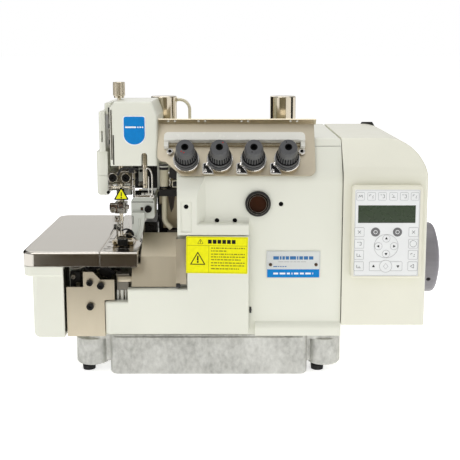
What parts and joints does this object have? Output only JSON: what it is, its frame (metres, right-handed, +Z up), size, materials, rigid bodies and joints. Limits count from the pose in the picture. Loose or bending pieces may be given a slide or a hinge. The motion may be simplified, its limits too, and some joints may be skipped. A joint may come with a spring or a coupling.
{
  "type": "serger overlock machine",
  "caption": "Direct-drive industrial overlock head: slim sewing arm, swing-out cloth plate, looper cover, row of thread tensions, cast oil pan, motor cover with keypad and domed handwheel.",
  "frame": {"origin": "on the floor under the middle of the machine's outline, at the soles of the rubber feet", "axes": "+X to the operator's right, towards the handwheel; +Y away from the operator; +Z up"},
  "size_m": [0.431, 0.2359, 0.2955],
  "materials": {
    "cream_paint": "satin",
    "motor_paint": "satin",
    "cast_aluminium": "rough cast",
    "foot_rubber": "matte",
    "nickel_sheet": "fine brushed",
    "table_steel": "fine brushed",
    "polished_steel": "polished",
    "machined_steel": "machined",
    "satin_casting": "satin",
    "dark_steel": "oiled",
    "knob_plastic": "satin",
    "wheel_plastic": "satin",
    "white_plastic": "gloss",
    "panel_plastic": "satin",
    "membrane_film": "satin",
    "display_glass": "gloss",
    "clear_plastic": "clear",
    "pipe_plastic": "satin",
    "black_plastic": "matte",
    "brown_glass": "gloss",
    "plate_print": "satin",
    "motor_steel": "laminated"
  },
  "bodies": {
    "machine": {"main_frame": "cream_paint", "top_cover": "cream_paint", "rear_cover": "cream_paint", "side_casing": "cream_paint", "head_frame": "cream_paint", "head_cover": "cream_paint", "head_side_cover": "cream_paint", "needle_guard_box": "cream_paint", "motor_cover": "motor_paint", "oil_pan": "cast_aluminium", "rubber_feet": "foot_rubber", "side_plate": "nickel_sheet", "chip_chute": "nickel_sheet", "tension_plate": "nickel_sheet", "bed_plate": "table_steel", "needle_plate": "polished_steel", "thread_guides": "polished_steel", "tension_posts": "polished_steel", "air_cylinders": "polished_steel", "pivot_pins": "polished_steel", "lower_knife": "machined_steel", "lower_knife_holder": "machined_steel", "needle_bar_guide": "machined_steel", "shaft_bearings": "machined_steel", "socket_screws": "dark_steel", "motor_stator": "motor_steel", "cable_gland": "black_plastic", "pipe_clips": "black_plastic", "sight_bezel": "black_plastic", "control_panel": "panel_plastic", "keypad_membrane": "membrane_film", "lcd_window": "display_glass", "thread_guide_bar": "white_plastic", "air_pipe": "pipe_plastic", "suction_pipe": "pipe_plastic", "sight_glass": "brown_glass", "nameplate": "plate_print"},
    "drive_shaft": {"main_shaft": "machined_steel", "motor_rotor": "motor_steel", "handwheel": "wheel_plastic"},
    "needle_carrier": {"needle_bar": "polished_steel", "needle_clamp": "machined_steel", "needles": "polished_steel", "take_up_rod": "polished_steel"},
    "knife_lever": {"knife_arm": "dark_steel", "upper_knife": "machined_steel"},
    "lower_looper_arm": {"lower_looper": "machined_steel"},
    "upper_looper_arm": {"upper_looper": "machined_steel"},
    "feed_bar": {"feed_dog": "machined_steel"},
    "presser": {"presser_arm": "satin_casting", "presser_foot": "polished_steel"},
    "tension_dial_1": {"tension_knob_1": "knob_plastic"},
    "tension_dial_2": {"tension_knob_2": "knob_plastic"},
    "tension_dial_3": {"tension_knob_3": "knob_plastic"},
    "tension_dial_4": {"tension_knob_4": "knob_plastic"},
    "pressure_dial": {"pressure_screw": "polished_steel"},
    "cover_carriage": {"cover_hinge_rod": "machined_steel"},
    "looper_door": {"front_cover": "cream_paint"},
    "swing_table": {"cloth_plate": "table_steel"},
    "finger_guard": {"eye_guard": "clear_plastic"}
  },
  "joints": [
    {"name": "handwheel_turn", "type": "hinge", "parent": "machine", "child": "drive_shaft", "pos_m": [0.1925, -0.01705, 0.1065], "axis": [1, 0, 0], "continuous": true},
    {"name": "needle_stroke", "type": "slide", "parent": "machine", "child": "needle_carrier", "axis": [0, 0, 1], "range_m": [-0.016, 0.008]},
    {"name": "upper_knife_swing", "type": "hinge", "parent": "machine", "child": "knife_lever", "pos_m": [-0.0915, 0.00795, 0.1445], "axis": [-1, 0, 0], "range_deg": [-5, 2.6]},
    {"name": "lower_looper_swing", "type": "hinge", "parent": "machine", "child": "lower_looper_arm", "pos_m": [-0.1495, -0.04705, 0.0745], "axis": [0, 1, 0], "range_deg": [-16.2, 8.2]},
    {"name": "upper_looper_swing", "type": "hinge", "parent": "machine", "child": "upper_looper_arm", "pos_m": [-0.1325, -0.03805, 0.0915], "axis": [0, -1, 0], "range_deg": [-30.2, 15.2]},
    {"name": "feed_stroke", "type": "slide", "parent": "machine", "child": "feed_bar", "axis": [0, 1, 0], "range_m": [-0.002, 0.002]},
    {"name": "presser_lift", "type": "hinge", "parent": "machine", "child": "presser", "pos_m": [-0.0975, 0.02295, 0.1695], "axis": [-1, 0, 0], "range_deg": [0, 5], "stiffness_Nm_per_rad": 5, "springref_deg": -11.46},
    {"name": "pressure_screw_turn", "type": "hinge", "parent": "machine", "child": "pressure_dial", "pos_m": [-0.1237, -0.03605, 0.2845], "axis": [0, 0, 1], "range_deg": [-720, 720]},
    {"name": "cover_slide", "type": "slide", "parent": "machine", "child": "cover_carriage", "axis": [1, 0, 0], "range_m": [0, 0.005]},
    {"name": "cover_hinge", "type": "hinge", "parent": "cover_carriage", "child": "looper_door", "pos_m": [-0.0575, -0.09355, 0.05], "axis": [1, 0, 0], "range_deg": [0, 90]},
    {"name": "cloth_plate_swing", "type": "hinge", "parent": "machine", "child": "swing_table", "pos_m": [-0.1455, 0.08995, 0.1225], "axis": [0, 0, -1], "range_deg": [0, 85]},
    {"name": "eye_guard_swing", "type": "hinge", "parent": "machine", "child": "finger_guard", "pos_m": [-0.1195, -0.06805, 0.1905], "axis": [-1, 0, 0], "range_deg": [0, 90]},
    {"name": "tension_knob_1_turn", "type": "hinge", "parent": "machine", "child": "tension_dial_1", "pos_m": [-0.0518, -0.1011, 0.22862], "axis": [0, -0.848, 0.5299], "range_deg": [-540, 540]},
    {"name": "tension_knob_2_turn", "type": "hinge", "parent": "machine", "child": "tension_dial_2", "pos_m": [-0.0188, -0.1011, 0.22862], "axis": [0, -0.848, 0.5299], "range_deg": [-540, 540]},
    {"name": "tension_knob_3_turn", "type": "hinge", "parent": "machine", "child": "tension_dial_3", "pos_m": [0.0142, -0.1011, 0.22862], "axis": [0, -0.848, 0.5299], "range_deg": [-540, 540]},
    {"name": "tension_knob_4_turn", "type": "hinge", "parent": "machine", "child": "tension_dial_4", "pos_m": [0.0472, -0.1011, 0.22862], "axis": [0, -0.848, 0.5299], "range_deg": [-540, 540]}
  ],
  "couplings": [
    {"joint": "upper_knife_swing", "follows": "needle_stroke", "rad_per_m": 5.12},
    {"joint": "lower_looper_swing", "follows": "needle_stroke", "rad_per_m": 17.45},
    {"joint": "upper_looper_swing", "follows": "needle_stroke", "rad_per_m": 32.7}
  ]
}
